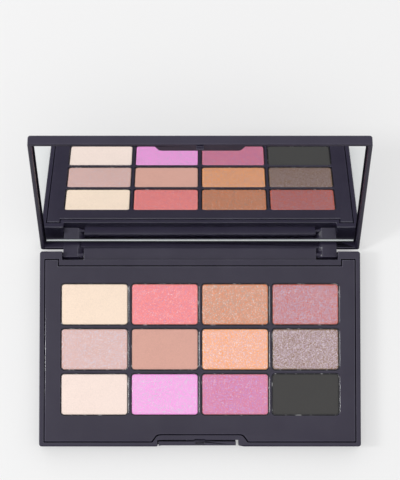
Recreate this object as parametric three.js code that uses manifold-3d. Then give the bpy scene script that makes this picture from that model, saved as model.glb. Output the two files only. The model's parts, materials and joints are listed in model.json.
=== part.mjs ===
// Eyeshadow palette: twelve pressed powders in metal pans, in a slim hinged case with a mirror in its lid.
// Millimetres. X runs to the right, Y to the rear, Z up. The origin is the centre of the flat underside.
// The lid is drawn closed over the base, then swung back about the hinge pins to its open stop.
import * as THREE from "three";
import { mergeVertices } from "three/addons/utils/BufferGeometryUtils.js";
import Module from "manifold-3d";

const wasm = await Module();
wasm.setup();

// ---- Driving dimensions ----

// Case
const CASE_W = 145;
const CASE_L = 88;
const BASE_H = 9;
const LID_H = 4.8;
const LID_GAP = 0.3; // between the closed lid's rim and the base's rim
const PLAN_R = 1.2;
const BASE_EDGE_R = 0.5;
const LID_EDGE_R = 0.9;
const BASE_FLOOR = 1.5;
const THROUGH = 2; // how far a cutting shape runs past the face that it cuts
const ROOT = 0.5; // how far an added shape starts inside the piece that it grows from
const REST_GAP = 0.3; // between a rib, post or wall and the piece above or beside it

// Tray that carries the pans
const TRAY_TOP = 9.4;
const TRAY_SKIN = 1.3;
const TRAY_BEVEL = 0.25;
const TRAY_GAP = 0.35;
const TRAY_SIDE_INSET = 2.44;
const TRAY_FRONT_INSET = 2.15;
const TRAY_REAR_INSET = 6.74;
const TRAY_TAB_INSET = 3.84; // the two rear corner tabs reach further back
const TRAY_TAB_X = 64.2;
const WELL_BLOCK_BOTTOM = 3.2;
const WELL_FLOOR = 4.4;
const WELL_WALL = 1;
const RIB_HALF_LENGTH = 60; // ribs on the base's floor, one under each row of wells
const RIB_HALF_T = 0.6;
const POST_R = 1.4; // posts on the base's floor, under the tray's corners
const POST_X = 67.5;
const POST_FRONT_Y = -36;
const POST_REAR_Y = 35;

// Pans and powders
const PITCH_X = 31.75;
const PITCH_Y = 20.3;
const GRID_Y = -0.3;
const WELL_W = 30.75;
const WELL_L = 19.2;
const WELL_R = 1.8;
const PAN_CLEARANCE = 0.2;
const PAN_SHEET = 0.25;
const PAN_BOTTOM = 4.75;
const PAN_TOP = 8.95;
const POWDER_CLEARANCE = 0.05;
const POWDER_TOP = 8.9;
const POWDER_BEVEL = 0.3;
const GLUE_R = 4;
const GLUE_T = 0.25;
const GLUE_LIFT = 0.05; // off the floor of the well

// Hinge
const OPEN_ANGLE = THREE.MathUtils.degToRad(117);
const HINGE_Y = CASE_L / 2 - 1.5;
const HINGE_Z = BASE_H - 3.4;
const PIN_R = 0.6;
const PIN_HOLE_R = 0.7;
const PIN_HOLE_DEEPER = 0.5; // the hole's blind end, past the pin's
const PIN_INNER_X = 50.5;
const PIN_OUTER_X = 71.5;
const LUG_INNER_X = 54.8;
const LUG_OUTER_X = 62.1;
const LUG_FRONT = 1; // lug face in front of the pin axis
const LUG_TIP = 1.5; // lug tip below the pin axis
const LUG_TIP_CHAMFER = 0.4;
const LUG_SIDE_CHAMFER_W = 0.7; // along the lug's inner edge
const LUG_SIDE_CHAMFER_D = 0.5;
const COLLAR_R = 0.95; // round the pin, between the lug and the barrel
const COLLAR_END_X = 52.85;
const FLANK_TOP_D = 0.5; // the sloping flank beside the lug, below its face
const FLANK_FOOT_D = 1.6;
const POCKET_OUTER_X = 62.4;
const POCKET_FRONT_Y = CASE_L / 2 - TRAY_TAB_INSET;
const POCKET_FLOOR = 2.7;
const BARREL_HALF = 52.7;
const BARREL_R = 3.4;
const BARREL_TOP = 6.6;

// Lid inside
const LID_WALL = 1.7;
const LID_SKIN = 0.85;
const MIRROR_RECESS = 2.5;
const MIRROR_T = 1.2;
const MIRROR_HALF_W = 70.2;
const MIRROR_FRONT_GAP = 0.3;
const MIRROR_REAR_INSET = 2.79;
const MIRROR_BEVEL = 0.3;
const MIRROR_CORNER_R = 0.4;
const BEAD_R = 0.8; // the bright bead along the mirror's edge by the hinge
const BEAD_FROM_EDGE = 1.1;
const BEAD_SUNK = 0.1; // of its centre behind the mirror's face
const BEAD_END_INSET = 0.3;
const LID_INSIDE_R = 0.5;
const TAPE_T = 0.15;
const TAPE_LIFT = 0.05; // off the mirror's back
const TAPE_MARGIN = 4;
const TAPE_CORNER_R = 1;
const TAPE_SHIFT_Y = -0.4;

// Latch
const TAB_DEPTH = 5.15;
const TAB_T = 2.2;
const TAB_ROOT_HALF = 19.2;
const TAB_END_HALF = 16;
const NOTCH_OUTER_HALF = 21.8;
const NOTCH_INNER_HALF = 18.7;
const NOTCH_DEPTH = 5.4;
const NOTCH_EASE = 0.9; // where the notch's slanting sides turn into its rear edge
const NOTCH_EASE_OUT = 1.4;
const NOTCH_EASE_MID = 0.8;
const NOTCH_EASE_IN = 1;
const TAB_ROOT = 0.6; // the tab's root, inside the front wall
const TAB_EASE = 0.9;
const TAB_EASE_OUT = 1.7;
const TAB_EASE_MID = 1.2;
const TAB_EASE_IN = 0.4;
const RECESS_DEPTH = 0.5;
const RECESS_HALF = 19.9;
const RECESS_FLAT_HALF = 17.2;
const SLOT_REAR_Y = -41.05;
const BUTTON_SLOT_LEFT = -19.2;
const BUTTON_SLOT_RIGHT = 17.35;
const BUTTON_LEFT = -18.65;
const BUTTON_RIGHT = 16.15;
const BUTTON_REAR_Y = -41.75;
const BUTTON_BOTTOM = 0.6;
const BUTTON_TOP = 8.8;
const SLOT_FLOOR_T = 0.4; // under the button
const SLOT_FLOOR_BACK = 0.2; // its front edge, behind the button's face
const HOOK_HALF = 1.6;
const HOOK_POCKET_HALF = 2.1;
const HOOK_BOTTOM = 7.75;
const HOOK_BARB_TOP = 8.1;
const CATCH_BOTTOM = 8.2;
const HOOK_POCKET_BOTTOM = 7.4;
const HOOK_POCKET_MARGIN = 0.4;
const HOOK_POCKET_DEEPER = 0.45; // room behind the slot for the hook's barb
const BLADE_FRONT = 0.6; // the hook's blade and barb, measured from the button's rear face
const BLADE_REAR = 0.2;
const BARB_REAR = 0.15;
const WINDOW_LIP = 0.4; // plastic left in front of the button's window
const CATCH_BAR_FRONT = 0.1; // the catch bar, measured from the button's rear face
const CATCH_BAR_REAR = 0.35;
const CATCH_BAR_MARGIN = 0.3;
const BEHIND_SLOT = 1; // how far a cut behind the button starts inside its slot
const ARM_HALF = 6;
const ARM_BOTTOM = 3;
const ARM_TOP = 4.4;
const ARM_CLEARANCE = 0.3;
const CROSSBAR_HALF = 9;
const CROSSBAR_FRONT_Y = -38.75;
const CROSSBAR_REAR_Y = -37.65;
const CROSSBAR_DROP = 0.6; // below the arm
const CROSSBAR_RISE = 2; // above the arm
const STUD_R = 0.9;
const STUD_LENGTH = 1.8;
const STUD_SHIFT_Y = 0.4;
const SPRING_R = 1.5;
const SPRING_WIRE_R = 0.2;
const SPRING_TURNS = 5;
const SPRING_Z = 4.4;
const SPRING_FRONT_Y = -37.3;
const SPRING_REAR_Y = -33.4;
const SPRING_WALL_HALF = 6;
const SPRING_WALL_T = 1;
const SPRING_WALL_RISE = 2.4; // above the spring's axis

// ---- Finishes ----

const finish = (color, roughness, metalness = 0) =>
  new THREE.MeshStandardMaterial({ color, roughness, metalness });
const SHELL_PLASTIC = finish(0x474553, 0.55);
const TRAY_PLASTIC = finish(0x484653, 0.5);
const PAN_METAL = finish(0xc9c9c6, 0.35, 1);
const PIN_STEEL = finish(0xb4b6b8, 0.3, 1);
const MIRROR_GLASS = finish(0xe6eaea, 0.03, 1);
const FOAM_TAPE = finish(0xd8d6cf, 0.8);
const HOT_MELT = finish(0xe4dcc4, 0.45);

// The shades, row by row from the hinge to the latch and from left to right.
const SHADE_ROWS = [
  {
    cream: finish(0xfae5d2, 0.85),
    coral: finish(0xf0707f, 0.5),
    bronze: finish(0xb8895f, 0.45, 0.15),
    mauve: finish(0xa5717f, 0.5, 0.1),
  },
  {
    dusty_rose: finish(0xc9a3a0, 0.7),
    tan: finish(0xc08e78, 0.85),
    peach: finish(0xf0a67f, 0.5, 0.1),
    taupe: finish(0x8d7b78, 0.5, 0.15),
  },
  {
    ivory: finish(0xf7e6dc, 0.85),
    orchid: finish(0xe793cf, 0.6),
    plum: finish(0xc0689c, 0.5),
    charcoal: finish(0x3c3c3a, 0.85),
  },
];

// ---- Shape helpers ----

// A closed geometry as a solid that can be joined and cut.
function solid(geometry) {
  const bare = geometry.clone();
  bare.deleteAttribute("normal");
  bare.deleteAttribute("uv");
  const merged = mergeVertices(bare, 1e-4);
  return new wasm.Manifold(
    new wasm.Mesh({
      numProp: 3,
      vertProperties: new Float32Array(merged.attributes.position.array),
      triVerts: new Uint32Array(merged.index.array),
    }),
  );
}

// A solid as a geometry with flat-shaded faces.
function geometryOf(made) {
  const { vertProperties, triVerts } = made.getMesh();
  const indexed = new THREE.BufferGeometry();
  indexed.setAttribute("position", new THREE.BufferAttribute(vertProperties, 3));
  indexed.setIndex(new THREE.BufferAttribute(triVerts, 1));
  const flat = indexed.toNonIndexed();
  flat.computeVertexNormals();
  return flat;
}

// A box between two corners.
function block([x0, y0, z0], [x1, y1, z1]) {
  const box = new THREE.BoxGeometry(x1 - x0, y1 - y0, z1 - z0);
  return solid(box.translate((x0 + x1) / 2, (y0 + y1) / 2, (z0 + z1) / 2));
}

// A rectangle with round corners, centred on (cx, cy).
function roundedRectangle(width, length, radius, cx = 0, cy = 0) {
  const x = width / 2 - radius;
  const y = length / 2 - radius;
  const shape = new THREE.Shape();
  shape.absarc(cx + x, cy - y, radius, -Math.PI / 2, 0);
  shape.absarc(cx + x, cy + y, radius, 0, Math.PI / 2);
  shape.absarc(cx - x, cy + y, radius, Math.PI / 2, Math.PI);
  shape.absarc(cx - x, cy - y, radius, Math.PI, Math.PI * 1.5);
  shape.closePath();
  return shape;
}

// An outline in plan, raised from z0 to z1, with its top and bottom edges eased by bevel.
function raised(shape, z0, z1, bevel = 0, curveSegments = 4) {
  const geometry = new THREE.ExtrudeGeometry(shape, {
    depth: z1 - z0 - 2 * bevel,
    curveSegments,
    bevelEnabled: bevel > 0,
    bevelThickness: bevel,
    bevelSize: bevel,
    bevelOffset: -bevel,
    bevelSegments: bevel > 0.4 ? 2 : 1,
  });
  return solid(geometry.translate(0, 0, z0 + bevel));
}

// An outline in the Y-Z plane, carried along X from x0 to x1.
function alongX(shape, x0, x1, curveSegments = 12) {
  const geometry = new THREE.ExtrudeGeometry(shape, { depth: x1 - x0, curveSegments, bevelEnabled: false });
  const turn = new THREE.Matrix4().makeBasis(
    new THREE.Vector3(0, 1, 0),
    new THREE.Vector3(0, 0, 1),
    new THREE.Vector3(1, 0, 0),
  );
  return solid(geometry.applyMatrix4(turn).translate(x0, 0, 0));
}

// A rod of the given radius on the hinge axis, from x0 to x1.
function rodOnHinge(radius, x0, x1) {
  const rod = new THREE.CylinderGeometry(radius, radius, x1 - x0, 20);
  return solid(rod.rotateZ(Math.PI / 2).translate((x0 + x1) / 2, HINGE_Y, HINGE_Z));
}

// A closed outline from a list of [x, y] corners.
function outline(corners) {
  return new THREE.Shape(corners.map(([x, y]) => new THREE.Vector2(x, y)));
}

// ---- Outlines that more than one piece follows ----

const FRONT_Y = -CASE_L / 2;
const REAR_Y = CASE_L / 2;
const SIDE_X = CASE_W / 2;
const LID_BOTTOM = BASE_H + LID_GAP;
const LID_TOP = LID_BOTTOM + LID_H;
const MIRROR_FACE = LID_BOTTOM + MIRROR_RECESS;

// The tray's outline, grown by a gap where it is the well in the base that takes the tray.
function trayOutline(gap = 0) {
  const side = SIDE_X - TRAY_SIDE_INSET + gap;
  const front = FRONT_Y + TRAY_FRONT_INSET - gap;
  const notch = FRONT_Y + NOTCH_DEPTH - gap;
  const tabRear = REAR_Y - TRAY_TAB_INSET + gap;
  const rear = REAR_Y - TRAY_REAR_INSET + gap;
  const tabX = TRAY_TAB_X - gap;
  const outer = NOTCH_OUTER_HALF - gap;
  const inner = NOTCH_INNER_HALF - gap;
  const shape = new THREE.Shape();
  shape.moveTo(-side, front);
  shape.lineTo(-outer, front);
  shape.lineTo(-inner - NOTCH_EASE_OUT, notch - NOTCH_EASE);
  shape.quadraticCurveTo(-inner - NOTCH_EASE_MID, notch, -inner + NOTCH_EASE_IN, notch);
  shape.lineTo(inner - NOTCH_EASE_IN, notch);
  shape.quadraticCurveTo(inner + NOTCH_EASE_MID, notch, inner + NOTCH_EASE_OUT, notch - NOTCH_EASE);
  shape.lineTo(outer, front);
  shape.lineTo(side, front);
  shape.lineTo(side, tabRear);
  shape.lineTo(tabX, tabRear);
  shape.lineTo(tabX, rear);
  shape.lineTo(-tabX, rear);
  shape.lineTo(-tabX, tabRear);
  shape.lineTo(-side, tabRear);
  shape.closePath();
  return shape;
}

// The lid's latch tab, which grows out of the middle of its front wall.
function tabOutline() {
  const root = FRONT_Y + TAB_ROOT;
  const end = FRONT_Y + TAB_DEPTH;
  const shape = new THREE.Shape();
  shape.moveTo(-TAB_ROOT_HALF, root);
  shape.lineTo(TAB_ROOT_HALF, root);
  shape.lineTo(TAB_ROOT_HALF, FRONT_Y + LID_WALL);
  shape.lineTo(TAB_END_HALF + TAB_EASE_OUT, end - TAB_EASE);
  shape.quadraticCurveTo(TAB_END_HALF + TAB_EASE_MID, end, TAB_END_HALF - TAB_EASE_IN, end);
  shape.lineTo(-TAB_END_HALF + TAB_EASE_IN, end);
  shape.quadraticCurveTo(-TAB_END_HALF - TAB_EASE_MID, end, -TAB_END_HALF - TAB_EASE_OUT, end - TAB_EASE);
  shape.lineTo(-TAB_ROOT_HALF, FRONT_Y + LID_WALL);
  shape.closePath();
  return shape;
}

// The thumb recess in the middle of the base's front, with sloping ends.
function thumbRecess() {
  const flat = FRONT_Y + RECESS_DEPTH;
  const outside = FRONT_Y - THROUGH;
  const flare = ((RECESS_HALF - RECESS_FLAT_HALF) * THROUGH) / RECESS_DEPTH;
  return raised(
    outline([
      [-RECESS_HALF - flare, outside],
      [RECESS_HALF + flare, outside],
      [RECESS_FLAT_HALF, flat],
      [-RECESS_FLAT_HALF, flat],
    ]),
    -THROUGH,
    BASE_H + THROUGH,
  );
}

// ---- Base ----

// The central hinge barrel: flat on top, round behind, concentric with the pins below.
function hingeBarrel() {
  const ease = BARREL_TOP - HINGE_Z;
  const shape = new THREE.Shape();
  shape.moveTo(POCKET_FRONT_Y - 1, HINGE_Z - BARREL_R);
  shape.lineTo(HINGE_Y, HINGE_Z - BARREL_R);
  shape.absarc(HINGE_Y, HINGE_Z, BARREL_R, -Math.PI / 2, 0);
  shape.absarc(HINGE_Y + BARREL_R - ease, HINGE_Z, ease, 0, Math.PI / 2);
  shape.lineTo(POCKET_FRONT_Y - 1, BARREL_TOP);
  shape.closePath();
  return alongX(shape, -BARREL_HALF, BARREL_HALF, 6);
}

function baseShell() {
  let body = raised(roundedRectangle(CASE_W, CASE_L, PLAN_R), 0, BASE_H, BASE_EDGE_R);
  const above = BASE_H + THROUGH;
  body = body.subtract(raised(trayOutline(TRAY_GAP), BASE_FLOOR, above));

  // Channel for the lid's rear wall, pockets for its lugs, and the barrel between them.
  const behind = REAR_Y + THROUGH;
  body = body.subtract(block([-POCKET_OUTER_X, POCKET_FRONT_Y, BARREL_TOP], [POCKET_OUTER_X, behind, above]));
  for (const side of [-1, 1]) {
    const xs = [side * BARREL_HALF, side * POCKET_OUTER_X].sort((a, b) => a - b);
    body = body.subtract(block([xs[0], POCKET_FRONT_Y, POCKET_FLOOR], [xs[1], behind, above]));
  }
  body = body.add(hingeBarrel());
  for (const side of [-1, 1]) {
    const xs = [side * (PIN_INNER_X - PIN_HOLE_DEEPER), side * (SIDE_X + THROUGH)].sort((a, b) => a - b);
    body = body.subtract(rodOnHinge(PIN_HOLE_R, xs[0], xs[1]));
  }

  // Ribs under the wells, and posts under the tray's corners.
  const ribTop = WELL_BLOCK_BOTTOM - REST_GAP;
  for (const row of [-1, 0, 1]) {
    const y = GRID_Y + row * PITCH_Y;
    body = body.add(
      block([-RIB_HALF_LENGTH, y - RIB_HALF_T, BASE_FLOOR - ROOT], [RIB_HALF_LENGTH, y + RIB_HALF_T, ribTop]),
    );
  }
  const postBottom = BASE_FLOOR - ROOT;
  const postTop = TRAY_TOP - TRAY_SKIN - REST_GAP;
  for (const x of [-POST_X, POST_X]) {
    for (const y of [POST_FRONT_Y, POST_REAR_Y]) {
      const post = new THREE.CylinderGeometry(POST_R, POST_R, postTop - postBottom, 16);
      body = body.add(solid(post.rotateX(Math.PI / 2).translate(x, y, (postBottom + postTop) / 2)));
    }
  }

  // Thumb recess, the slot that the button moves in, and the way through for its arm.
  body = body.subtract(thumbRecess());
  body = body.subtract(
    block([BUTTON_SLOT_LEFT, FRONT_Y - THROUGH, -THROUGH], [BUTTON_SLOT_RIGHT, SLOT_REAR_Y, above]),
  );
  body = body.add(
    block(
      [BUTTON_SLOT_LEFT - ROOT, FRONT_Y + RECESS_DEPTH + SLOT_FLOOR_BACK, 0],
      [BUTTON_RIGHT, SLOT_REAR_Y + ROOT, SLOT_FLOOR_T],
    ),
  );
  const pocketHalf = HOOK_POCKET_HALF + HOOK_POCKET_MARGIN;
  const pocketRear = SLOT_REAR_Y + HOOK_POCKET_DEEPER;
  body = body.subtract(
    block([-pocketHalf, SLOT_REAR_Y - BEHIND_SLOT, HOOK_POCKET_BOTTOM], [pocketHalf, pocketRear, above]),
  );
  const armHole = ARM_HALF + ARM_CLEARANCE;
  body = body.subtract(
    block(
      [-armHole, SLOT_REAR_Y - BEHIND_SLOT, ARM_BOTTOM - ARM_CLEARANCE],
      [armHole, FRONT_Y + NOTCH_DEPTH + BEHIND_SLOT, ARM_TOP + ARM_CLEARANCE],
    ),
  );

  // Wall that the latch spring pushes against.
  const wallY = SPRING_REAR_Y + REST_GAP;
  return body.add(
    block(
      [-SPRING_WALL_HALF, wallY, BASE_FLOOR - ROOT],
      [SPRING_WALL_HALF, wallY + SPRING_WALL_T, SPRING_Z + SPRING_WALL_RISE],
    ),
  );
}

// The centre of a well: row 0 is nearest the hinge, column 0 is the leftmost.
const wellCentre = (row, column) => [(column - 1.5) * PITCH_X, GRID_Y + (1 - row) * PITCH_Y];

function trayInsert() {
  const underside = TRAY_TOP - TRAY_SKIN;
  let tray = raised(trayOutline(), underside, TRAY_TOP, TRAY_BEVEL);
  const width = 3 * PITCH_X + WELL_W + 2 * WELL_WALL;
  const length = 2 * PITCH_Y + WELL_L + 2 * WELL_WALL;
  const wells = roundedRectangle(width, length, WELL_R + WELL_WALL, 0, GRID_Y);
  tray = tray.add(raised(wells, WELL_BLOCK_BOTTOM, underside + ROOT));
  for (let row = 0; row < 3; row += 1) {
    for (let column = 0; column < 4; column += 1) {
      const [x, y] = wellCentre(row, column);
      tray = tray.subtract(
        raised(roundedRectangle(WELL_W, WELL_L, WELL_R, x, y), WELL_FLOOR, TRAY_TOP + THROUGH),
      );
    }
  }
  return tray;
}

// Each pan, powder and glue dot is drawn about its own centre line and put in its well by its position.
function panShape() {
  const width = WELL_W - 2 * PAN_CLEARANCE;
  const length = WELL_L - 2 * PAN_CLEARANCE;
  const radius = WELL_R - PAN_CLEARANCE;
  const outside = raised(roundedRectangle(width, length, radius), PAN_BOTTOM, PAN_TOP);
  const inside = raised(
    roundedRectangle(width - 2 * PAN_SHEET, length - 2 * PAN_SHEET, radius - PAN_SHEET),
    PAN_BOTTOM + PAN_SHEET,
    PAN_TOP + THROUGH,
  );
  return outside.subtract(inside);
}

function powderShape() {
  const inset = 2 * (PAN_CLEARANCE + PAN_SHEET + POWDER_CLEARANCE);
  const radius = WELL_R - inset / 2;
  return raised(
    roundedRectangle(WELL_W - inset, WELL_L - inset, radius),
    PAN_BOTTOM + PAN_SHEET + POWDER_CLEARANCE,
    POWDER_TOP,
    POWDER_BEVEL,
  );
}

function glueDotShape() {
  const dot = new THREE.CylinderGeometry(GLUE_R, GLUE_R, GLUE_T, 16);
  return solid(dot.rotateX(Math.PI / 2).translate(0, 0, WELL_FLOOR + GLUE_LIFT + GLUE_T / 2));
}

// ---- Latch ----

function latchButton() {
  const front = FRONT_Y + RECESS_DEPTH;
  let button = block([BUTTON_LEFT, FRONT_Y, BUTTON_BOTTOM], [BUTTON_RIGHT, BUTTON_REAR_Y, BUTTON_TOP]);
  button = button.subtract(thumbRecess());

  // Window behind the top edge for the lid's hook, closed at the rear by the bar that it catches on.
  const windowFront = front + WINDOW_LIP;
  button = button.subtract(
    block([-HOOK_POCKET_HALF, windowFront, HOOK_POCKET_BOTTOM], [HOOK_POCKET_HALF, 0, BUTTON_TOP + THROUGH]),
  );
  const barHalf = HOOK_POCKET_HALF + CATCH_BAR_MARGIN;
  button = button.add(
    block(
      [-barHalf, BUTTON_REAR_Y - CATCH_BAR_FRONT, CATCH_BOTTOM],
      [barHalf, BUTTON_REAR_Y + CATCH_BAR_REAR, BUTTON_TOP],
    ),
  );

  // Arm through the front wall, with the crossbar that keeps it in and the stud that centres the spring.
  button = button.add(
    block([-ARM_HALF, BUTTON_REAR_Y - ROOT, ARM_BOTTOM], [ARM_HALF, CROSSBAR_REAR_Y, ARM_TOP]),
  );
  button = button.add(
    block(
      [-CROSSBAR_HALF, CROSSBAR_FRONT_Y, ARM_BOTTOM - CROSSBAR_DROP],
      [CROSSBAR_HALF, CROSSBAR_REAR_Y, ARM_TOP + CROSSBAR_RISE],
    ),
  );
  const stud = new THREE.CylinderGeometry(STUD_R, STUD_R, STUD_LENGTH, 14);
  return button.add(solid(stud.translate(0, CROSSBAR_REAR_Y + STUD_SHIFT_Y, SPRING_Z)));
}

// The helix that the spring's wire follows, from the crossbar back to the wall.
class SpringHelix extends THREE.Curve {
  getPoint(t, target = new THREE.Vector3()) {
    const turn = t * SPRING_TURNS * 2 * Math.PI;
    const y = SPRING_FRONT_Y + t * (SPRING_REAR_Y - SPRING_FRONT_Y);
    return target.set(SPRING_R * Math.cos(turn), y, SPRING_Z + SPRING_R * Math.sin(turn));
  }
}

function latchSpring() {
  const section = new THREE.Shape().absarc(0, 0, SPRING_WIRE_R, 0, 2 * Math.PI);
  const wire = new THREE.ExtrudeGeometry(section, {
    extrudePath: new SpringHelix(),
    steps: 12 * SPRING_TURNS,
    curveSegments: 3,
    bevelEnabled: false,
  });
  return solid(wire);
}

// ---- Lid, drawn closed ----

function hingeLug(side) {
  const front = HINGE_Y - LUG_FRONT;
  const tip = HINGE_Z - LUG_TIP;
  const shape = outline([
    [front, MIRROR_FACE + MIRROR_T],
    [front, tip],
    [REAR_Y - LUG_TIP_CHAMFER, tip],
    [REAR_Y, tip + LUG_TIP_CHAMFER],
    [REAR_Y, MIRROR_FACE + MIRROR_T],
  ]);
  const ends = [side * LUG_INNER_X, side * LUG_OUTER_X].sort((a, b) => a - b);
  let lug = alongX(shape, ends[0], ends[1]);

  // Chamfer along the inner edge, cut by a corner whose slanting side runs past the lug at both ends.
  const chamfer = outline([
    [side * (LUG_INNER_X + 2 * LUG_SIDE_CHAMFER_W), front - LUG_SIDE_CHAMFER_D],
    [side * (LUG_INNER_X - LUG_SIDE_CHAMFER_W), front + 2 * LUG_SIDE_CHAMFER_D],
    [side * (LUG_INNER_X - LUG_SIDE_CHAMFER_W), front - LUG_SIDE_CHAMFER_D],
  ]);
  lug = lug.subtract(raised(chamfer, tip - THROUGH, LID_BOTTOM));

  // Flank that slopes down from the lug towards the barrel, and the collar that comes out of it.
  const flank = outline([
    [side * (LUG_INNER_X + ROOT), front + FLANK_TOP_D],
    [side * LUG_INNER_X, front + FLANK_TOP_D],
    [side * COLLAR_END_X, front + FLANK_FOOT_D],
    [side * COLLAR_END_X, REAR_Y],
    [side * (LUG_INNER_X + ROOT), REAR_Y],
  ]);
  lug = lug.add(raised(flank, tip + LUG_TIP_CHAMFER, MIRROR_FACE));
  const collar = [side * COLLAR_END_X, side * (LUG_INNER_X + ROOT)].sort((a, b) => a - b);
  lug = lug.add(rodOnHinge(COLLAR_R, collar[0], collar[1]));
  const hole = [side * (COLLAR_END_X - THROUGH), side * (LUG_OUTER_X + THROUGH)].sort((a, b) => a - b);
  return lug.subtract(rodOnHinge(PIN_HOLE_R, hole[0], hole[1]));
}

function lidShell() {
  const plan = roundedRectangle(CASE_W, CASE_L, PLAN_R);
  const drop = LID_EDGE_R * 2; // the lower bevel is cut off, so that the rim stays square
  let lid = raised(plan, LID_BOTTOM - drop, LID_TOP, LID_EDGE_R);
  lid = lid.subtract(block([-CASE_W, -CASE_L, 0], [CASE_W, CASE_L, LID_BOTTOM]));
  const inside = roundedRectangle(CASE_W - 2 * LID_WALL, CASE_L - 2 * LID_WALL, LID_INSIDE_R);
  lid = lid.subtract(raised(inside, LID_BOTTOM - THROUGH, LID_TOP - LID_SKIN));
  for (const side of [-1, 1]) lid = lid.add(hingeLug(side));

  // Latch tab over the mirror's edge, with the hook that drops into the button's window.
  lid = lid.add(raised(tabOutline(), LID_BOTTOM, LID_BOTTOM + TAB_T));
  const bladeFront = BUTTON_REAR_Y - BLADE_FRONT;
  const bladeRear = BUTTON_REAR_Y - BLADE_REAR;
  const barbRear = BUTTON_REAR_Y + BARB_REAR;
  lid = lid.add(block([-HOOK_HALF, bladeFront, HOOK_BOTTOM], [HOOK_HALF, bladeRear, LID_BOTTOM + ROOT]));
  return lid.add(block([-HOOK_HALF, bladeFront, HOOK_BOTTOM], [HOOK_HALF, barbRear, HOOK_BARB_TOP]));
}

function mirrorPlate() {
  const front = FRONT_Y + LID_WALL + MIRROR_FRONT_GAP;
  const rear = REAR_Y - MIRROR_REAR_INSET;
  const plan = roundedRectangle(2 * MIRROR_HALF_W, rear - front, MIRROR_CORNER_R, 0, (front + rear) / 2);
  const plate = raised(plan, MIRROR_FACE, MIRROR_FACE + MIRROR_T, MIRROR_BEVEL, 2);
  const bead = new THREE.CylinderGeometry(BEAD_R, BEAD_R, 2 * (MIRROR_HALF_W - BEAD_END_INSET), 24);
  bead.rotateZ(Math.PI / 2).translate(0, rear - BEAD_FROM_EDGE, MIRROR_FACE + BEAD_SUNK);
  return plate.add(solid(bead));
}

function mirrorTape() {
  const bottom = MIRROR_FACE + MIRROR_T + TAPE_LIFT;
  const width = 2 * (MIRROR_HALF_W - TAPE_MARGIN);
  const length = CASE_L - 2 * LID_WALL - 2 * TAPE_MARGIN;
  return raised(roundedRectangle(width, length, TAPE_CORNER_R, 0, TAPE_SHIFT_Y), bottom, bottom + TAPE_T);
}

// ---- Assembly ----

const palette = new THREE.Group();

function piece(name, made, material, parent = palette) {
  const mesh = new THREE.Mesh(geometryOf(made), material);
  mesh.name = name;
  parent.add(mesh);
  return mesh;
}

piece("base_shell", baseShell(), SHELL_PLASTIC);
piece("tray_insert", trayInsert(), TRAY_PLASTIC);

const pan = panShape();
const powder = powderShape();
const glueDot = glueDotShape();
SHADE_ROWS.forEach((shades, row) => {
  Object.entries(shades).forEach(([shade, material], column) => {
    const [x, y] = wellCentre(row, column);
    piece(`glue_dot_${shade}`, glueDot, HOT_MELT).position.set(x, y, 0);
    piece(`pan_${shade}`, pan, PAN_METAL).position.set(x, y, 0);
    piece(`powder_${shade}`, powder, material).position.set(x, y, 0);
  });
});

piece("hinge_pin_left", rodOnHinge(PIN_R, -PIN_OUTER_X, -PIN_INNER_X), PIN_STEEL);
piece("hinge_pin_right", rodOnHinge(PIN_R, PIN_INNER_X, PIN_OUTER_X), PIN_STEEL);
piece("latch_button", latchButton(), SHELL_PLASTIC);
piece("latch_spring", latchSpring(), PIN_STEEL);

// The lid's group turns about the hinge pins, and what it holds keeps its closed place inside it.
const hinge = new THREE.Group();
hinge.position.set(0, HINGE_Y, HINGE_Z);
hinge.rotation.x = -OPEN_ANGLE;
palette.add(hinge);
const lid = new THREE.Group();
lid.position.set(0, -HINGE_Y, -HINGE_Z);
hinge.add(lid);
piece("lid_shell", lidShell(), SHELL_PLASTIC, lid);
piece("mirror", mirrorPlate(), MIRROR_GLASS, lid);
piece("mirror_tape", mirrorTape(), FOAM_TAPE, lid);

export default palette;
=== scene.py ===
import json
import math

import bpy
from mathutils import Matrix, Vector


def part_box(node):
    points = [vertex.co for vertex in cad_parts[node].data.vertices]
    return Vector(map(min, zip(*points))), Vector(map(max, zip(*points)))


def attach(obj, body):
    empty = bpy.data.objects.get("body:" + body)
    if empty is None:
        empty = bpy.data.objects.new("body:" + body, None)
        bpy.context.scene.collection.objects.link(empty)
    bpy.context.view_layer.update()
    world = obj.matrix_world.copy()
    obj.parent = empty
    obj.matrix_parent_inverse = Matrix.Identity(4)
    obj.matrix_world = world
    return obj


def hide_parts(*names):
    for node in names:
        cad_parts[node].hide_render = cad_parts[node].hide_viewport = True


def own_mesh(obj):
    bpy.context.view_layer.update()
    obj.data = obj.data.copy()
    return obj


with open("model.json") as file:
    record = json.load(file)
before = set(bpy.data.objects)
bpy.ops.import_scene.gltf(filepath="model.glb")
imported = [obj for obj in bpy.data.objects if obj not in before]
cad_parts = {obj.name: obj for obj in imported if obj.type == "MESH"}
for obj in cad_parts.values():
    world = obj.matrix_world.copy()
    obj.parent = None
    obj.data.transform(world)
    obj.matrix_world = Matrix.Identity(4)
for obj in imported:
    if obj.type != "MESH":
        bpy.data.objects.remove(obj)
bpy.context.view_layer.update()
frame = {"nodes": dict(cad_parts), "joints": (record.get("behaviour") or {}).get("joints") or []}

# An eyeshadow palette: a slim moulded case, a tray of twelve pressed powders in metal pans, and a mirror
# in the lid. Everything is in metres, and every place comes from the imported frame.

MM = 0.001

JOINTS = {joint["name"]: joint for joint in frame["joints"]}
HINGE = Vector(JOINTS["lid_hinge"]["pos_m"])
OPEN_ANGLE = math.radians(max(JOINTS["lid_hinge"]["range_deg"]))

# The lid's pieces are drawn closed over the base, then swung back about the hinge pins.
SWING_OPEN = (
    Matrix.Translation(HINGE) @ Matrix.Rotation(-OPEN_ANGLE, 4, "X") @ Matrix.Translation(-HINGE)
)

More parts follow.
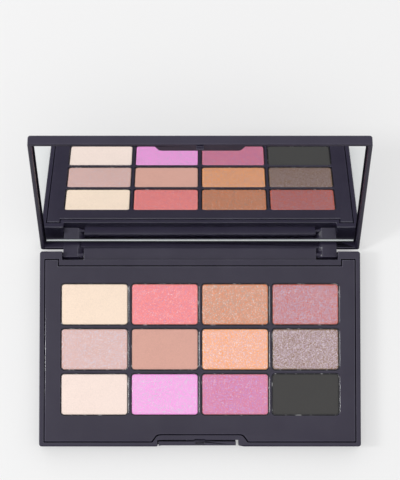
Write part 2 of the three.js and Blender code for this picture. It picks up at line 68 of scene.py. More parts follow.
# Row by row from the hinge to the latch, and from left to right.
SHADES = (
    "cream", "coral", "bronze", "mauve",
    "dusty_rose", "tan", "peach", "taupe",
    "ivory", "orchid", "plum", "charcoal",
)

# Easing of the moulded edges
SHELL_EASE = 0.2 * MM
TRAY_EASE = 0.18 * MM
BUTTON_EASE = 0.1 * MM
EASE_FACETS = 2
EASE_FINISH_NUMBER = 1
LEAST_EASED_ANGLE = math.radians(30)
MERGE_DISTANCE = 0.001 * MM
FLAT_ANGLE = math.radians(0.5)

# Moulded plastic
SATIN_ROUGHNESS = 0.42
SATIN_IOR = 1.4
SHELL_GRAIN = 0.02 * MM
TRAY_GRAIN = 0.015 * MM
POLISHED_ROUGHNESS = 0.16
POLISHED_IOR = 1.52
POLISHED_GRAIN = 0.005 * MM

# Pans and powders
PAN_CORNER = 1.6 * MM
PAN_SHEET = 0.25 * MM
PAN_DRAW_RADIUS = 0.5 * MM
PAN_RIM_EASE = 0.06 * MM
POWDER_CORNER = 1.3 * MM
POWDER_EDGE = 0.4 * MM
POWDER_CROWN = 0.05 * MM
POWDER_CROWN_WIDTH = 1.0 * MM
CORNER_STEPS = 6
GLUE_EDGE = 0.1 * MM
GLUE_DISH_STEP = 1.2 * MM
GLUE_DISH_DEPTH = 0.06 * MM

# Mirror and its tape
MIRROR_CORNER = 0.4 * MM
MIRROR_EDGE_EASE = 0.25 * MM
MIRROR_THICKNESS = 1.2 * MM
BEAD_RADIUS = 0.8 * MM
BEAD_FROM_EDGE = 1.1 * MM
BEAD_END_INSET = 0.3 * MM
BEAD_SIDES = 48
SILVERED, POLISHED, PAINTED = range(3)
TAPE_CORNER = 1 * MM
TAPE_EDGE = 0.04 * MM

# Hinge pins and latch spring
PIN_CHAMFER = 0.12 * MM
PIN_DIMPLE_DEPTH = 0.1 * MM
SPRING_RADIUS = 1.5 * MM
WIRE_RADIUS = 0.2 * MM
LIVE_TURNS = 4
DEAD_TURNS = 0.9
DEAD_PITCH = 0.42 * MM
POINTS_A_TURN = 24

# Studio
CAMERA_DISTANCE = 931 * MM
CAMERA_AIM_BEHIND_HINGE = 6.64 * MM
CAMERA_LEAN = math.radians(3.38)
CAMERA_LENS = 154.2
CAMERA_SENSOR_WIDTH = 36
CAMERA_NEAREST = 10 * MM
DOME_STRENGTH = 1.1
DOME_TILT = (0, 0.45, 1)
DOME_DIM_UNTIL = 0.25
DOME_DIM_COLOUR = (0.1, 0.1, 0.11, 1)
DOME_BRIGHT_FROM = 0.7
WHITE = (1, 1, 1, 1)
FLOOR_SIZE = 6
FLOOR_DROP = 0.02 * MM
FLOOR_GLOW = 0.4


# ---- Studio ----


def make_camera():
    """A camera almost overhead, which leans a little to the front and is aimed just behind the hinge."""
    data = bpy.data.cameras.new("camera")
    data.lens = CAMERA_LENS
    data.sensor_width = CAMERA_SENSOR_WIDTH
    data.clip_start = CAMERA_NEAREST
    camera = bpy.data.objects.new("camera", data)
    aim = Vector((0, HINGE.y + CAMERA_AIM_BEHIND_HINGE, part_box("base_shell")[1].z))
    camera.location = aim + CAMERA_DISTANCE * Vector((0, -math.sin(CAMERA_LEAN), math.cos(CAMERA_LEAN)))
    camera.rotation_euler = (CAMERA_LEAN, 0, 0)
    bpy.context.collection.objects.link(camera)
    bpy.context.scene.camera = camera


def make_floor(finish):
    """A wide table top, just below the palette's underside."""
    bpy.ops.object.select_all(action="DESELECT")
    bpy.ops.mesh.primitive_plane_add(size=FLOOR_SIZE, location=(0, 0, -FLOOR_DROP))
    floor = bpy.context.object
    floor.name = "studio_floor"
    floor.data.materials.append(finish)


def make_softbox(name, place, width, length, watts):
    """A soft rectangular white light that faces the palette."""
    data = bpy.data.lights.new(name, "AREA")
    data.shape = "RECTANGLE"
    data.size = width
    data.size_y = length
    data.energy = watts
    light = bpy.data.objects.new(name, data)
    light.location = place
    light.rotation_euler = (-Vector(place)).to_track_quat("-Z", "Y").to_euler()
    bpy.context.collection.objects.link(light)


def make_world():
    """A pale dome overhead, which reaches further down behind and is dim low in front and at the sides."""
    world = bpy.data.worlds.new("studio")
    world.use_nodes = True
    bpy.context.scene.world = world
    tree = world.node_tree
    background = tree.nodes["Background"]
    background.inputs["Strength"].default_value = DOME_STRENGTH
    coordinates = tree.nodes.new("ShaderNodeTexCoord")
    tilt = tree.nodes.new("ShaderNodeVectorMath")
    tilt.operation = "DOT_PRODUCT"
    tilt.inputs[1].default_value = DOME_TILT
    tree.links.new(coordinates.outputs["Generated"], tilt.inputs[0])
    ramp = tree.nodes.new("ShaderNodeValToRGB")
    dim, bright = ramp.color_ramp.elements
    dim.position = DOME_DIM_UNTIL
    dim.color = DOME_DIM_COLOUR
    bright.position = DOME_BRIGHT_FROM
    bright.color = WHITE
    tree.links.new(tilt.outputs["Value"], ramp.inputs["Fac"])
    tree.links.new(ramp.outputs["Color"], background.inputs["Color"])


def light_studio():
    """A large softbox overhead, and a narrow one on the left that draws light lines on the edges."""
    make_softbox("overhead_softbox", place=(0, 0.05, 1.8), width=1.6, length=1.6, watts=2.6)
    make_softbox("left_strip_light", place=(-1, 0, 1), width=0.15, length=0.35, watts=5.2)
    bpy.context.scene.view_settings.view_transform = "Standard"


# ---- Hand tools ----


def pick(piece):
    """Makes a piece the only one selected, and the one that is worked on."""
    bpy.ops.object.select_all(action="DESELECT")
    piece.select_set(True)
    bpy.context.view_layer.objects.active = piece


def start_block(name, low, high):
    """A block between two corners, ready to be shaped."""
    bpy.ops.object.select_all(action="DESELECT")
    bpy.ops.mesh.primitive_cube_add(size=1, location=(low + high) / 2)
    piece = bpy.context.object
    piece.name = name
    piece.scale = high - low
    bpy.ops.object.transform_apply(location=True, rotation=True, scale=True)
    return piece


def start_rod(name, radius, start, end, sides=32):
    """A rod along X or Z between the centres of its two ends."""
    along = end - start
    bpy.ops.object.select_all(action="DESELECT")
    bpy.ops.mesh.primitive_cylinder_add(
        vertices=sides,
        radius=radius,
        depth=along.length,
        location=(start + end) / 2,
        rotation=along.to_track_quat("Z", "Y").to_euler(),
    )
    piece = bpy.context.object
    piece.name = name
    bpy.ops.object.transform_apply(location=True, rotation=True, scale=True)
    return piece


def choose_edges(piece, wanted):
    """In edit mode, selects only the edges whose two ends pass the test."""
    bpy.ops.mesh.select_mode(type="EDGE")
    bpy.ops.mesh.select_all(action="DESELECT")
    bpy.ops.object.mode_set(mode="OBJECT")
    points = piece.data.vertices
    for edge in piece.data.edges:
        edge.select = wanted(points[edge.vertices[0]].co, points[edge.vertices[1]].co)
    bpy.ops.object.mode_set(mode="EDIT")


def choose_faces(piece, wanted):
    """In edit mode, selects only the faces whose centre and normal pass the test."""
    bpy.ops.mesh.select_mode(type="FACE")
    bpy.ops.mesh.select_all(action="DESELECT")
    bpy.ops.object.mode_set(mode="OBJECT")
    for face in piece.data.polygons:
        face.select = wanted(face.center, face.normal)
    bpy.ops.object.mode_set(mode="EDIT")


def round_upright_edges(piece, radius, steps=CORNER_STEPS):
    """Rounds every edge of a piece that stands upright."""
    bpy.ops.object.mode_set(mode="EDIT")
    choose_edges(piece, lambda a, b: abs(a.x - b.x) < MERGE_DISTANCE and abs(a.y - b.y) < MERGE_DISTANCE)
    bpy.ops.mesh.bevel(offset=radius, segments=steps, affect="EDGES")
    bpy.ops.object.mode_set(mode="OBJECT")


def level_edges(height):
    """A test for edges that lie at one height."""
    return lambda a, b: abs(a.z - height) < MERGE_DISTANCE and abs(b.z - height) < MERGE_DISTANCE


def level_faces(height):
    """A test for flat faces at one height that look up or down."""
    return lambda centre, normal: abs(centre.z - height) < MERGE_DISTANCE and abs(normal.z) > 0.99


def apply_modifier(piece, kind, **settings):
    """Finishes a piece with one modifier, which is applied at once."""
    pick(piece)
    modifier = piece.modifiers.new(kind.lower(), kind)
    for name, value in settings.items():
        setattr(modifier, name, value)
    bpy.ops.object.modifier_apply(modifier=modifier.name)


def smooth_over(piece, degrees=40):
    """Shades a piece smooth, except across edges that turn by more than an angle."""
    pick(piece)
    bpy.ops.object.shade_smooth_by_angle(angle=math.radians(degrees))


def place(piece, body, node, slot, *finishes):
    """Gives a finished piece its finishes and its CAD body, and hides the CAD node that it stands for. The
    finish slots are refilled, not cleared, because clearing them would forget which finish each face has."""
    slots = piece.data.materials
    for index, finish in enumerate(finishes):
        if index < len(slots):
            slots[index] = finish
        else:
            slots.append(finish)
    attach(piece, body)
    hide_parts(node)


def moved_copy(pattern, name, shift):
    """A copy of a piece with its own mesh, moved to another place."""
    piece = bpy.data.objects.new(name, pattern.data.copy())
    piece.data.transform(Matrix.Translation(shift))
    bpy.context.collection.objects.link(piece)
    return piece


def closed_box(node):
    """The lowest and highest corners of one of the lid's CAD nodes, as it lies when the lid is closed."""
    swing_closed = SWING_OPEN.inverted()
    points = [swing_closed @ vertex.co for vertex in frame["nodes"][node].data.vertices]
    low = Vector([min(point[axis] for point in points) for axis in range(3)])
    high = Vector([max(point[axis] for point in points) for axis in range(3)])
    return low, high


# ---- Finishes ----


def linear(hex_colour):
    """A colour written as six hex digits, as the shader's linear values (the standard sRGB curve)."""
    parts = [int(hex_colour[at : at + 2], 16) / 255 for at in (0, 2, 4)]
    return [part / 12.92 if part < 0.04045 else ((part + 0.055) / 1.055) ** 2.4 for part in parts] + [1]


def shaded(hex_colour, factor):
    """The colour made darker or lighter by a factor, and no lighter than white."""
    return [min(1.0, factor * part) for part in linear(hex_colour)[:3]] + [1]


class Finish:
    """A material with one Principled shader, whose patterns are read in Object coordinates."""

    def __init__(self, name, colour, roughness, metallic=0.0, centre=(0, 0, 0)):
        self.material = bpy.data.materials.new(name)
        self.material.use_nodes = True
        self.tree = self.material.node_tree
        self.shader = self.tree.nodes["Principled BSDF"]
        self.shader.inputs["Base Color"].default_value = linear(colour)
        self.shader.inputs["Roughness"].default_value = roughness
        self.shader.inputs["Metallic"].default_value = metallic
        coordinates = self.tree.nodes.new("ShaderNodeTexCoord")
        mapping = self.tree.nodes.new("ShaderNodeMapping")
        mapping.inputs["Location"].default_value = [-value for value in centre]
        self.tree.links.new(coordinates.outputs["Object"], mapping.inputs["Vector"])
        self.place = mapping.outputs["Vector"]

    def wire(self, socket, value):
        """Sets a socket to a number or a colour, or links an output to it."""
        if isinstance(value, bpy.types.NodeSocket):
            self.tree.links.new(value, socket)
        else:
            socket.default_value = value

    def drive(self, name, value):
        """Sets one of the shader's own sockets, or links an output to it."""
        self.wire(self.shader.inputs[name], value)

    def noise(self, size, detail=2.0, stretch=None):
        """Smooth noise from 0 to 1 with features about as large as size."""
        node = self.tree.nodes.new("ShaderNodeTexNoise")
        node.inputs["Scale"].default_value = 1 / size
        node.inputs["Detail"].default_value = detail
        source = self.place
        if stretch:
            mapping = self.tree.nodes.new("ShaderNodeMapping")
            mapping.inputs["Scale"].default_value = stretch
            self.wire(mapping.inputs["Vector"], self.place)
            source = mapping.outputs["Vector"]
        self.wire(node.inputs["Vector"], source)
        return node.outputs["Fac"]

    def grains(self, size):
        """A random number from 0 to 1 for each grain of that size."""
        node = self.tree.nodes.new("ShaderNodeTexVoronoi")
        node.inputs["Scale"].default_value = 1 / size
        self.wire(node.inputs["Vector"], self.place)
        split = self.tree.nodes.new("ShaderNodeSeparateColor")
        self.wire(split.inputs["Color"], node.outputs["Color"])
        return split.outputs["Red"]

    def between(self, value, start, end, low=0.0, high=1.0):
        """Runs from low to high as value goes from start to end, and stays there outside."""
        node = self.tree.nodes.new("ShaderNodeMapRange")
        self.wire(node.inputs["Value"], value)
        self.wire(node.inputs["From Min"], start)
        self.wire(node.inputs["From Max"], end)
        self.wire(node.inputs["To Min"], low)
        self.wire(node.inputs["To Max"], high)
        return node.outputs["Result"]

    def blend(self, amount, first, second):
        """A colour between two others."""
        node = self.tree.nodes.new("ShaderNodeMix")
        node.data_type = "RGBA"
        self.wire(node.inputs["Factor"], amount)
        self.wire(node.inputs["A"], first)
        self.wire(node.inputs["B"], second)
        return node.outputs["Result"]

    def reckon(self, operation, first, second=0.0):
        """One sum on two numbers or outputs."""
        node = self.tree.nodes.new("ShaderNodeMath")
        node.operation = operation
        self.wire(node.inputs[0], first)
        self.wire(node.inputs[1], second)
        return node.outputs["Value"]

    def relief(self, height, depth, strength, under=None):
        """Raises the surface by a pattern, on top of the relief that is under it."""
        node = self.tree.nodes.new("ShaderNodeBump")
        node.inputs["Strength"].default_value = strength
        node.inputs["Distance"].default_value = depth
        self.wire(node.inputs["Height"], height)
        if under:
            self.wire(node.inputs["Normal"], under)
        return node.outputs["Normal"]


def moulded_plastic(name, colour, worn_colour, grain_depth, roughness=SATIN_ROUGHNESS, ior=SATIN_IOR):
    """Dark moulded plastic: a fine grain, slight clouding, and faint polished patches from handling."""
    finish = Finish(name, colour, roughness)
    finish.shader.inputs["IOR"].default_value = ior
    clouds = finish.noise(18 * MM, 3)
    specks = finish.noise(0.22 * MM, 1)
    clouded = finish.between(clouds, 0.35, 0.65, 0.0, 0.35)
    specked = finish.between(specks, 0.6, 0.8, 0.0, 0.25)
    tint = finish.blend(clouded, linear(colour), linear(worn_colour))
    finish.drive("Base Color", finish.blend(specked, tint, linear(worn_colour)))
    handled = finish.noise(7 * MM, 4)
    finish.drive("Roughness", finish.between(handled, 0.3, 0.7, roughness - 0.05, roughness + 0.06))
    fine = finish.relief(finish.noise(0.12 * MM, 2), grain_depth, 0.35)
    finish.drive("Normal", finish.relief(finish.noise(9 * MM, 1), 0.02 * MM, 0.25, fine))
    return finish.material


def polished_plastic(name, colour, worn_colour):
    """The same plastic where its edges are rubbed smooth and glossy."""
    return moulded_plastic(name, colour, worn_colour, POLISHED_GRAIN, POLISHED_ROUGHNESS, POLISHED_IOR)


def pan_metal():
    """Drawn aluminium, dark grey as painted shade in the cake gaps, with a few bright scrapes along the
    rim.
    """
    # The dark grey of the pan and its strokes is painted shade, for the rims down in the gaps round the
    # cakes.
    finish = Finish("pan_aluminium", "505054", 0.45, 1.0)
    strokes = finish.noise(0.25 * MM, 3, (0.08, 1, 1))
    scrapes = finish.between(finish.noise(1.6 * MM, 4), 0.58, 0.68)
    painted_shade_strokes = finish.blend(strokes, linear("46464a"), linear("5a5a5e"))
    finish.drive("Base Color", finish.blend(scrapes, painted_shade_strokes, linear("b4b4b6")))
    finish.drive("Roughness", finish.between(scrapes, 0.0, 1.0, 0.5, 0.28))
    finish.drive("Normal", finish.relief(strokes, 0.01 * MM, 0.3))
    return finish.material


def drawn_steel(name, dark, light):
    """Steel wire with fine drawing marks along X."""
    finish = Finish(name, light, 0.32, 1.0)
    marks = finish.noise(0.15 * MM, 3, (0.1, 1, 1))
    finish.drive("Base Color", finish.blend(marks, linear(dark), linear(light)))
    finish.drive("Roughness", finish.between(marks, 0.3, 0.7, 0.25, 0.42))
    finish.drive("Normal", finish.relief(marks, 0.005 * MM, 0.4))
    return finish.material


def mirror_silver():
    """Silvered glass, with the faintest clouding from fingers."""
    finish = Finish("mirror_silver", "f6f8f8", 0.015, 1.0)
    smears = finish.noise(14 * MM, 5)
    clouded = finish.between(smears, 0.4, 0.8)
    finish.drive("Base Color", finish.blend(clouded, linear("f7f9f9"), linear("f3f6f6")))
    finish.drive("Roughness", finish.between(smears, 0.45, 0.8, 0.012, 0.03))
    return finish.material


def polished_edge():
    """The mirror's polished edges and bead, bright and very lightly scratched along their length."""
    finish = Finish("mirror_polished_edge", "a4a8a8", 0.2, 1.0)
    scratches = finish.noise(0.3 * MM, 3, (0.05, 1, 1))
    finish.drive("Base Color", finish.blend(scratches, linear("9ca0a0"), linear("aeb2b2")))
    finish.drive("Roughness", finish.between(scratches, 0.3, 0.7, 0.16, 0.28))
    finish.drive("Normal", finish.relief(scratches, 0.005 * MM, 0.3))
    return finish.material


def mirror_backing():
    """Grey protective paint behind the silver, rolled on unevenly."""
    finish = Finish("mirror_backing_paint", "6f7478", 0.6)
    strokes = finish.noise(1.2 * MM, 4, (1, 0.15, 1))
    finish.drive("Base Color", finish.blend(strokes, linear("62676b"), linear("7d8286")))
    finish.drive("Normal", finish.relief(strokes, 0.03 * MM, 0.5))
    return finish.material


def foam_tape():
    """Closed-cell foam."""
    finish = Finish("foam_tape_white", "d8d6cf", 0.85)
    cells = finish.grains(0.25 * MM)
    finish.drive("Base Color", finish.blend(cells, linear("cbc9c1"), linear("e2e0da")))
    finish.drive("Normal", finish.relief(finish.noise(0.3 * MM, 2), 0.05 * MM, 0.7))
    return finish.material


def hot_melt():
    """Milky hot-melt glue."""
    finish = Finish("hot_melt_milky", "e4dcc4", 0.4)
    flow = finish.noise(1.5 * MM, 3)
    finish.drive("Base Color", finish.blend(flow, linear("d8cfb4"), linear("efe8d4")))
    finish.drive("Roughness", finish.between(flow, 0.3, 0.7, 0.3, 0.5))
    finish.drive("Normal", finish.relief(flow, 0.05 * MM, 0.5))
    return finish.material


def lit_floor():
    """A translucent white table top with a little light from below, which keeps the shadows on it faint."""
    finish = Finish("studio_floor", "b4b4b4", 0.8)
    finish.drive("Base Color", finish.blend(finish.noise(0.4, 1), linear("b2b2b2"), linear("b6b6b6")))
    finish.shader.inputs["Emission Color"].default_value = WHITE
    finish.shader.inputs["Emission Strength"].default_value = FLOOR_GLOW
    return finish.material


# Each shade's pressed pigment
PIGMENTS = {
    "cream": "fae3ce", "coral": "ff8c87", "bronze": "e2895c", "mauve": "ca604b",
    "dusty_rose": "dcb3ab", "tan": "d8a496", "peach": "ffa96b", "taupe": "846445",
    "ivory": "f5e1d7", "orchid": "ffa0e7", "plum": "db7c93", "charcoal": "3c3b3a",
}

# Each shimmer shade's pearl: the flakes' colour, the share of the surface that they cover, their size,
# and the share that sparkles. The other shades are matte.
PEARLS = {
    "coral": ("c988a4", 0.30, 0.12 * MM, 0.03),
    "bronze": ("b09e96", 0.45, 0.14 * MM, 0.05),
    "mauve": ("a9a3ba", 0.45, 0.12 * MM, 0.03),
    "dusty_rose": ("cbdcf5", 0.12, 0.12 * MM, 0.02),
    "peach": ("d0b3bd", 0.40, 0.13 * MM, 0.05),
    "taupe": ("bdabb9", 0.50, 0.14 * MM, 0.05),
    "orchid": ("b1cac8", 0.22, 0.12 * MM, 0.02),
    "plum": ("b695d0", 0.32, 0.12 * MM, 0.02),
}
SPARKLE_COLOUR = "fff8f4"

# From the second distance to the first, the pearl thins out towards the rim to this part of its share.
PACKED_RIM = (0.15 * MM, 0.9 * MM)
PEARL_LEFT_AT_RIM = 0.35

# How much darker and lighter than its pigment the dust on a cake is
DUST_DARKER = 0.9
DUST_LIGHTER = 1.05


def away_from_rim(finish, half):
    """0 at a cake's rim and growing inwards: how far a point is from the nearest of its four sides."""
    split = finish.tree.nodes.new("ShaderNodeSeparateXYZ")
    finish.wire(split.inputs["Vector"], finish.place)
    from_side = finish.reckon("SUBTRACT", half.x, finish.reckon("ABSOLUTE", split.outputs["X"]))
    from_end = finish.reckon("SUBTRACT", half.y, finish.reckon("ABSOLUTE", split.outputs["Y"]))
    return finish.reckon("MINIMUM", from_side, from_end)


def press_in_pearl(finish, shade, body, relief, half):
    """Adds a shade's pearl flakes to its pigment. There are fewer at the rim, where the press packs the
    cake hardest."""
    flake_colour, flake_share, flake_size, sparkle = PEARLS[shade]
    inside = finish.between(away_from_rim(finish, half), *PACKED_RIM, PEARL_LEFT_AT_RIM, 1.0)
    chance = finish.grains(flake_size)
    flakes = finish.reckon("LESS_THAN", chance, finish.reckon("MULTIPLY", inside, flake_share))
    glints = finish.reckon("LESS_THAN", chance, sparkle)
    pearly = finish.blend(flakes, body, linear(flake_colour))
    finish.drive("Base Color", finish.blend(glints, pearly, linear(SPARKLE_COLOUR)))
    finish.drive("Metallic", finish.reckon("MULTIPLY", flakes, 0.9))
    finish.drive("Roughness", finish.between(flakes, 0.0, 1.0, 0.75, 0.38))
    finish.drive("Normal", finish.relief(finish.noise(flake_size, 1), 0.08 * MM, 0.5, relief))


def pressed_powder_finish(shade):
    """Pressed pigment with a fine dusty grain, and pearl flakes in it if the shade is a shimmer."""
    low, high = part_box(f"powder_{shade}")
    finish = Finish(f"powder_{shade}", PIGMENTS[shade], 0.8, 0.0, (low + high) / 2)
    dust = finish.noise(0.35 * MM, 3)
    drifts = finish.noise(5 * MM, 3)
    darker = shaded(PIGMENTS[shade], DUST_DARKER)
    lighter = shaded(PIGMENTS[shade], DUST_LIGHTER)
    body = finish.blend(finish.between(dust, 0.3, 0.7), darker, lighter)
    body = finish.blend(finish.between(drifts, 0.35, 0.65, 0.0, 0.3), body, lighter)
    grain = finish.relief(finish.noise(0.18 * MM, 3), 0.03 * MM, 0.5)
    relief = finish.relief(drifts, 0.05 * MM, 0.3, grain)

    if shade in PEARLS:
        press_in_pearl(finish, shade, body, relief, (high - low) / 2)
    else:
        finish.drive("Base Color", body)
        finish.drive("Roughness", finish.between(dust, 0.3, 0.7, 0.72, 0.9))
        finish.drive("Normal", relief)
    return finish.material


# ---- Case ----


def eased_copy(name, node, ease):
    """A CAD node's shape, with its triangles made into whole faces and its sharp edges broken by fine
    facets. The facets have a finish of their own, in a second slot."""
    piece = bpy.data.objects.new(name, frame["nodes"][node].data.copy())
    bpy.context.collection.objects.link(piece)
    pick(piece)
    bpy.ops.mesh.customdata_custom_splitnormals_clear()
    bpy.ops.object.mode_set(mode="EDIT")
    bpy.ops.mesh.select_all(action="SELECT")
    bpy.ops.mesh.remove_doubles(threshold=MERGE_DISTANCE)
    bpy.ops.mesh.dissolve_limited(angle_limit=FLAT_ANGLE)
    bpy.ops.object.mode_set(mode="OBJECT")
    piece.data.materials.append(None)
    apply_modifier(
        piece,
        "BEVEL",
        width=ease,
        segments=EASE_FACETS,
        limit_method="ANGLE",
        angle_limit=LEAST_EASED_ANGLE,
        use_clamp_overlap=False,
        material=EASE_FINISH_NUMBER,
    )
    smooth_over(piece, 20)
    return piece


# ---- Pans and powders ----


def drawn_pan(name, node):
    """A shallow pan drawn from thin sheet, open at the top, with its corners and its foot rounded."""
    low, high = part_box(node)
    pan = start_block(name, low, high)
    round_upright_edges(pan, PAN_CORNER)
    bpy.ops.object.mode_set(mode="EDIT")
    choose_edges(pan, level_edges(low.z))
    bpy.ops.mesh.bevel(offset=PAN_DRAW_RADIUS, segments=3, affect="EDGES")
    choose_faces(pan, level_faces(high.z))
    bpy.ops.mesh.inset(thickness=PAN_SHEET)
    depth = high.z - low.z - PAN_SHEET
    bpy.ops.mesh.extrude_region_move(TRANSFORM_OT_translate={"value": (0, 0, -depth)})
    bpy.ops.mesh.inset(thickness=PAN_DRAW_RADIUS)
    choose_edges(pan, level_edges(high.z))
    bpy.ops.mesh.bevel(offset=PAN_RIM_EASE, segments=2, affect="EDGES")
    bpy.ops.object.mode_set(mode="OBJECT")
    smooth_over(pan)
    return pan


def pressed_cake(name, node):
    """A cake of pressed powder, rounded at its top edge and crowned a little in the middle."""
    low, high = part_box(node)
    middle = (low + high) / 2
    flat = (high - low) / 2 - Vector((POWDER_CROWN_WIDTH / 2, POWDER_CROWN_WIDTH / 2, 0))

    def on_rim(a, b):
        """A test for the edges round the top, outside its flat middle."""
        reach = [max(abs(p.x - middle.x) - flat.x, abs(p.y - middle.y) - flat.y) for p in (a, b)]
        return min(reach) > 0 and level_edges(high.z)(a, b)

    cake = start_block(name, low, high)
    round_upright_edges(cake, POWDER_CORNER)
    bpy.ops.object.mode_set(mode="EDIT")
    choose_faces(cake, level_faces(high.z))
    bpy.ops.mesh.inset(thickness=POWDER_CROWN_WIDTH)
    choose_edges(cake, on_rim)
    bpy.ops.transform.translate(value=(0, 0, -POWDER_CROWN))
    choose_edges(cake, level_edges(high.z - POWDER_CROWN))
    bpy.ops.mesh.bevel(offset=POWDER_EDGE, segments=4, affect="EDGES")
    bpy.ops.object.mode_set(mode="OBJECT")
    smooth_over(cake, 50)
    return cake


def glue_blob(name, node):
    """A flattened blob of glue, dished a little on top."""
    low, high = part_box(node)
    middle = (low + high) / 2
    foot = Vector((middle.x, middle.y, low.z))
    top = Vector((middle.x, middle.y, high.z))
    blob = start_rod(name, (high.x - low.x) / 2, foot, top)
    bpy.ops.object.mode_set(mode="EDIT")
    for height in (low.z, high.z):
        choose_edges(blob, level_edges(height))
        bpy.ops.mesh.bevel(offset=GLUE_EDGE, segments=3, affect="EDGES")
    choose_faces(blob, level_faces(high.z))
    bpy.ops.mesh.inset(thickness=GLUE_DISH_STEP)
    bpy.ops.mesh.inset(thickness=GLUE_DISH_STEP)
    bpy.ops.transform.translate(value=(0, 0, -GLUE_DISH_DEPTH))
    bpy.ops.object.mode_set(mode="OBJECT")
    smooth_over(blob, 60)
    return blob


def fill_pans(aluminium, glue):
    """Twelve pans of powder, each on its dot of glue. The first trio is modelled, and the rest copied."""
    first = SHADES[0]
    first_pan = drawn_pan(f"pan_of_{first}", f"pan_{first}")
    first_cake = pressed_cake(f"cake_of_{first}", f"powder_{first}")
    first_blob = glue_blob(f"glue_under_{first}", f"glue_dot_{first}")
    first_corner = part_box(f"pan_{first}")[0]
    trios = {first: (first_pan, first_cake, first_blob)}
    for shade in SHADES[1:]:
        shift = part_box(f"pan_{shade}")[0] - first_corner
        trios[shade] = (
            moved_copy(first_pan, f"pan_of_{shade}", shift),
            moved_copy(first_cake, f"cake_of_{shade}", shift),
            moved_copy(first_blob, f"glue_under_{shade}", shift),
        )
    for shade, (pan, cake, blob) in trios.items():
        place(pan, "base", f"pan_{shade}", "pan_metal", aluminium)
        place(cake, "base", f"powder_{shade}", f"powder_{shade}", pressed_powder_finish(shade))
        place(blob, "base", f"glue_dot_{shade}", "hot_melt", glue)


# ---- Mirror ----


def mirror_glass():
    """A flat silvered sheet with polished edges, and a bright bead along its edge by the hinge."""
    low, high = closed_box("mirror")
    face_height = high.z - MIRROR_THICKNESS
    glass = start_block("mirror_glass", Vector((low.x, low.y, face_height)), high)
    round_upright_edges(glass, MIRROR_CORNER, 3)
    bpy.ops.object.mode_set(mode="EDIT")
    for height in (face_height, high.z):
        choose_edges(glass, level_edges(height))
        bpy.ops.mesh.bevel(offset=MIRROR_EDGE_EASE, segments=2, affect="EDGES")
    bpy.ops.object.mode_set(mode="OBJECT")

    middle = Vector((0, high.y - BEAD_FROM_EDGE, low.z + BEAD_RADIUS))
    reach = Vector((high.x - BEAD_END_INSET, 0, 0))
    bead = start_rod("mirror_bead", BEAD_RADIUS, middle - reach, middle + reach, BEAD_SIDES)
    bpy.ops.object.mode_set(mode="EDIT")
    choose_edges(bead, lambda a, b: abs(a.x - b.x) < MERGE_DISTANCE)
    bpy.ops.mesh.bevel(offset=BEAD_RADIUS / 4, segments=3, affect="EDGES")
    bpy.ops.object.mode_set(mode="OBJECT")
    apply_modifier(glass, "BOOLEAN", operation="UNION", solver="EXACT", object=bead)
    bpy.data.objects.remove(bead, do_unlink=True)

    for face in glass.data.polygons:
        if level_faces(face_height)(face.center, face.normal):
            face.material_index = SILVERED
        elif level_faces(high.z)(face.center, face.normal):
            face.material_index = PAINTED
        else:
            face.material_index = POLISHED
    glass.data.transform(SWING_OPEN)
    smooth_over(glass, 10)
    return glass


def tape_sheet():
    """The sheet of foam tape behind the mirror, with round corners and soft edges."""
    low, high = closed_box("mirror_tape")
    tape = start_block("mirror_foam_tape", low, high)
    round_upright_edges(tape, TAPE_CORNER, 4)
    bpy.ops.object.mode_set(mode="EDIT")
    for height in (low.z, high.z):
        choose_edges(tape, level_edges(height))
        bpy.ops.mesh.bevel(offset=TAPE_EDGE, segments=2, affect="EDGES")
    bpy.ops.object.mode_set(mode="OBJECT")
    tape.data.transform(SWING_OPEN)
    smooth_over(tape, 50)
    return tape


# ---- Hinge pins and latch spring ----


def chamfered_pin(name, node):
    """A straight steel pin with chamfered ends, each with a shallow dimple."""
    low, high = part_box(node)
    middle = (low + high) / 2
    radius = (high.z - low.z) / 2
    left_end = Vector((low.x, middle.y, middle.z))
    right_end = Vector((high.x, middle.y, middle.z))
    pin = start_rod(name, radius, left_end, right_end)
    bpy.ops.object.mode_set(mode="EDIT")
    for end, inward in ((low.x, PIN_DIMPLE_DEPTH), (high.x, -PIN_DIMPLE_DEPTH)):
        choose_edges(pin, lambda a, b: abs(a.x - end) < MERGE_DISTANCE and abs(b.x - end) < MERGE_DISTANCE)
        bpy.ops.mesh.bevel(offset=PIN_CHAMFER, segments=1, affect="EDGES")
        choose_faces(pin, lambda centre, normal: abs(centre.x - end) < MERGE_DISTANCE)
        bpy.ops.mesh.inset(thickness=radius / 3)
        bpy.ops.transform.translate(value=(inward, 0, 0))
    bpy.ops.object.mode_set(mode="OBJECT")
    smooth_over(pin, 30)
    return pin


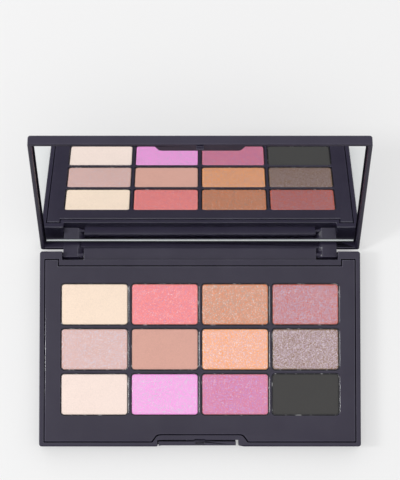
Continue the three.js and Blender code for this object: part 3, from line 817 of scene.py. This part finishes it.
def coil_spring(name, node):
    """A compression spring of round wire along Y, with a dead turn at each end."""
    low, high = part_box(node)
    centre = (low + high) / 2
    start = low.y + WIRE_RADIUS
    end = high.y - WIRE_RADIUS
    live_pitch = (end - start - 2 * DEAD_TURNS * DEAD_PITCH) / LIVE_TURNS
    turns = LIVE_TURNS + 2 * DEAD_TURNS
    line = bpy.data.curves.new(name, "CURVE")
    line.dimensions = "3D"
    line.bevel_depth = WIRE_RADIUS
    line.bevel_resolution = 3
    line.use_fill_caps = True
    wire = line.splines.new("POLY")
    count = round(turns * POINTS_A_TURN)
    wire.points.add(count)
    for step in range(count + 1):
        turn = turns * step / count
        before = min(turn, DEAD_TURNS)
        after = max(turn - DEAD_TURNS - LIVE_TURNS, 0)
        along = start + (before + after) * DEAD_PITCH + (turn - before - after) * live_pitch
        angle = 2 * math.pi * turn
        x = centre.x + SPRING_RADIUS * math.cos(angle)
        z = centre.z + SPRING_RADIUS * math.sin(angle)
        wire.points[step].co = (x, along, z, 1)
    coil = bpy.data.objects.new(name, line)
    bpy.context.collection.objects.link(coil)
    pick(coil)
    bpy.ops.object.convert(target="MESH")
    coil = bpy.context.object
    bpy.ops.object.mode_set(mode="EDIT")
    bpy.ops.mesh.select_all(action="SELECT")
    bpy.ops.mesh.remove_doubles(threshold=MERGE_DISTANCE)
    bpy.ops.mesh.normals_make_consistent(inside=False)
    bpy.ops.object.mode_set(mode="OBJECT")
    smooth_over(coil, 60)
    return coil


# ---- Assembly ----


def assemble():
    """Makes every piece, and puts it on its body in its finish."""
    shell = moulded_plastic("shell_satin", "292437", "332f41", SHELL_GRAIN)
    shell_edge = polished_plastic("shell_worn_edge", "332f41", "474355")
    tray = moulded_plastic("tray_satin", "292436", "332f40", TRAY_GRAIN)
    tray_edge = polished_plastic("tray_worn_edge", "332f40", "474355")
    # The hinge pins are coloured dark as painted shade, for the shaded gaps beside the lugs where they
    # show.
    pin_finish = drawn_steel("pin_steel_painted_dark", "3c3d42", "55565c")
    spring_finish = drawn_steel("spring_bright_steel", "9b9da0", "b8babc")

    base = eased_copy("base_case", "base_shell", SHELL_EASE)
    place(base, "base", "base_shell", "shell_plastic", shell, shell_edge)
    insert = eased_copy("pan_tray", "tray_insert", TRAY_EASE)
    place(insert, "base", "tray_insert", "tray_plastic", tray, tray_edge)
    lid = eased_copy("lid_case", "lid_shell", SHELL_EASE)
    place(lid, "lid", "lid_shell", "shell_plastic", shell, shell_edge)
    button = eased_copy("release_button", "latch_button", BUTTON_EASE)
    place(button, "latch_button", "latch_button", "shell_plastic", shell, shell_edge)

    fill_pans(pan_metal(), hot_melt())

    mirror_finishes = (mirror_silver(), polished_edge(), mirror_backing())
    place(mirror_glass(), "lid", "mirror", "mirror_glass", *mirror_finishes)
    place(tape_sheet(), "lid", "mirror_tape", "foam_tape", foam_tape())
    for side in ("left", "right"):
        pin = chamfered_pin(f"pin_{side}", f"hinge_pin_{side}")
        place(pin, "base", f"hinge_pin_{side}", "pin_steel", pin_finish)
    spring = coil_spring("button_spring", "latch_spring")
    place(spring, "base", "latch_spring", "pin_steel", spring_finish)
    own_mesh(spring)


make_camera()
make_floor(lit_floor())
make_world()
light_studio()
assemble()
